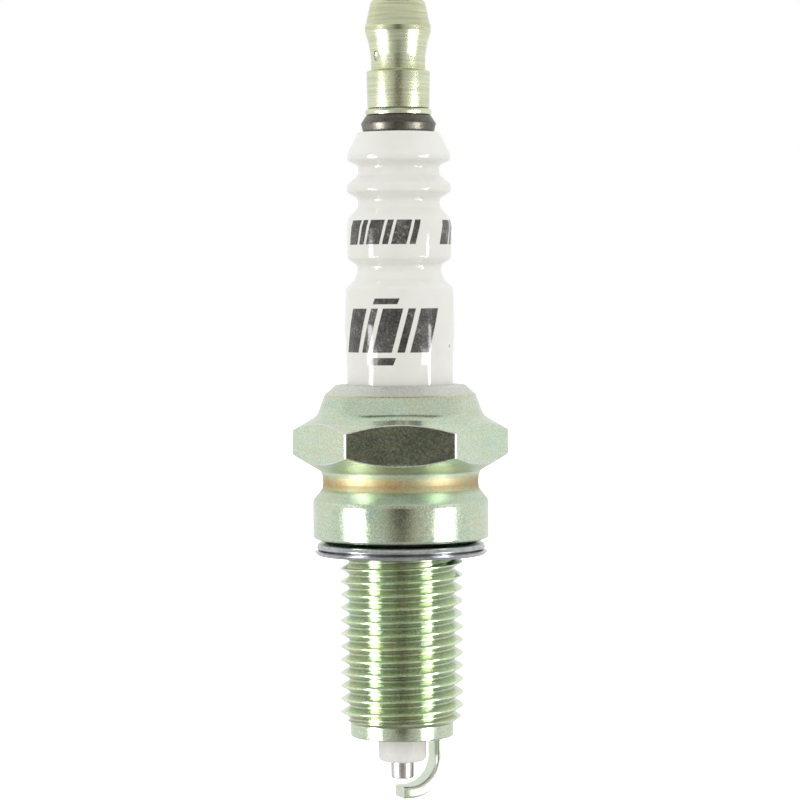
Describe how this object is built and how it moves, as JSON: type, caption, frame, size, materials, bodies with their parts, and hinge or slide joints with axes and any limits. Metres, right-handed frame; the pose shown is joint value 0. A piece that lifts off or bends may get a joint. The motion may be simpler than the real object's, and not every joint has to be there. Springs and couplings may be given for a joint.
{
  "type": "spark plug",
  "caption": "Motorcycle spark plug with a ribbed insulator, a hexagonal threaded shell, a crush gasket, a hooked ground electrode and a screw-on terminal nut.",
  "frame": {"origin": "on the plug's axis, in the plane of the gasket's lower face, which seats on the cylinder head", "axes": "+Z along the plug's axis towards the terminal; the hexagon's corners lie on X and two of its flats face -Y and +Y"},
  "size_m": [0.0206, 0.018, 0.0763],
  "materials": {
    "zinc_plate": "zinc plate with a pale green and gold passivate",
    "zinc_passivate": "zinc plate with a pale green iridescent passivate",
    "oxidised_steel": "dark heat-oxidised steel, semi-gloss",
    "glazed_alumina": "white glaze, with a bare matt nose",
    "sealing_glass": "fused conducting glass",
    "resistor_compound": "pressed, matt",
    "nickel_alloy": "satin",
    "copper": "plain copper",
    "plain_steel": "plain",
    "talc": "pressed powder",
    "gasket_steel": "bright blue-white zinc plate",
    "strap_nickel": "bright, with a green passivate"
  },
  "bodies": {
    "plug_body": {"shell": "zinc_passivate", "insulator": "glazed_alumina", "terminal_stud": "oxidised_steel", "upper_glass_seal": "sealing_glass", "resistor": "resistor_compound", "lower_glass_seal": "sealing_glass", "center_electrode": "nickel_alloy", "center_electrode_core": "copper", "upper_packing_ring": "plain_steel", "talc_packing": "talc", "lower_packing_ring": "plain_steel", "seat_washer": "plain_steel", "ground_electrode": "strap_nickel"},
    "terminal_washer": {"terminal_washer": "zinc_plate"},
    "terminal_nut": {"terminal_nut": "zinc_plate"},
    "gasket": {"gasket": "gasket_steel"}
  },
  "joints": [
    {"name": "terminal_washer_rise", "type": "slide", "parent": "plug_body", "child": "terminal_washer", "axis": [0, 0, 1], "range_m": [0, 0.0091]},
    {"name": "terminal_nut_turn", "type": "hinge", "parent": "terminal_washer", "child": "terminal_nut", "pos_m": [0, 0, 0.0425], "axis": [0, 0, 1], "range_deg": [0, 4680]},
    {"name": "gasket_turn", "type": "hinge", "parent": "plug_body", "child": "gasket", "pos_m": [0, 0, 0.0006], "axis": [0, 0, 1], "continuous": true}
  ],
  "couplings": [
    {"joint": "terminal_nut_turn", "follows": "terminal_washer_rise", "rad_per_m": 8976}
  ]
}
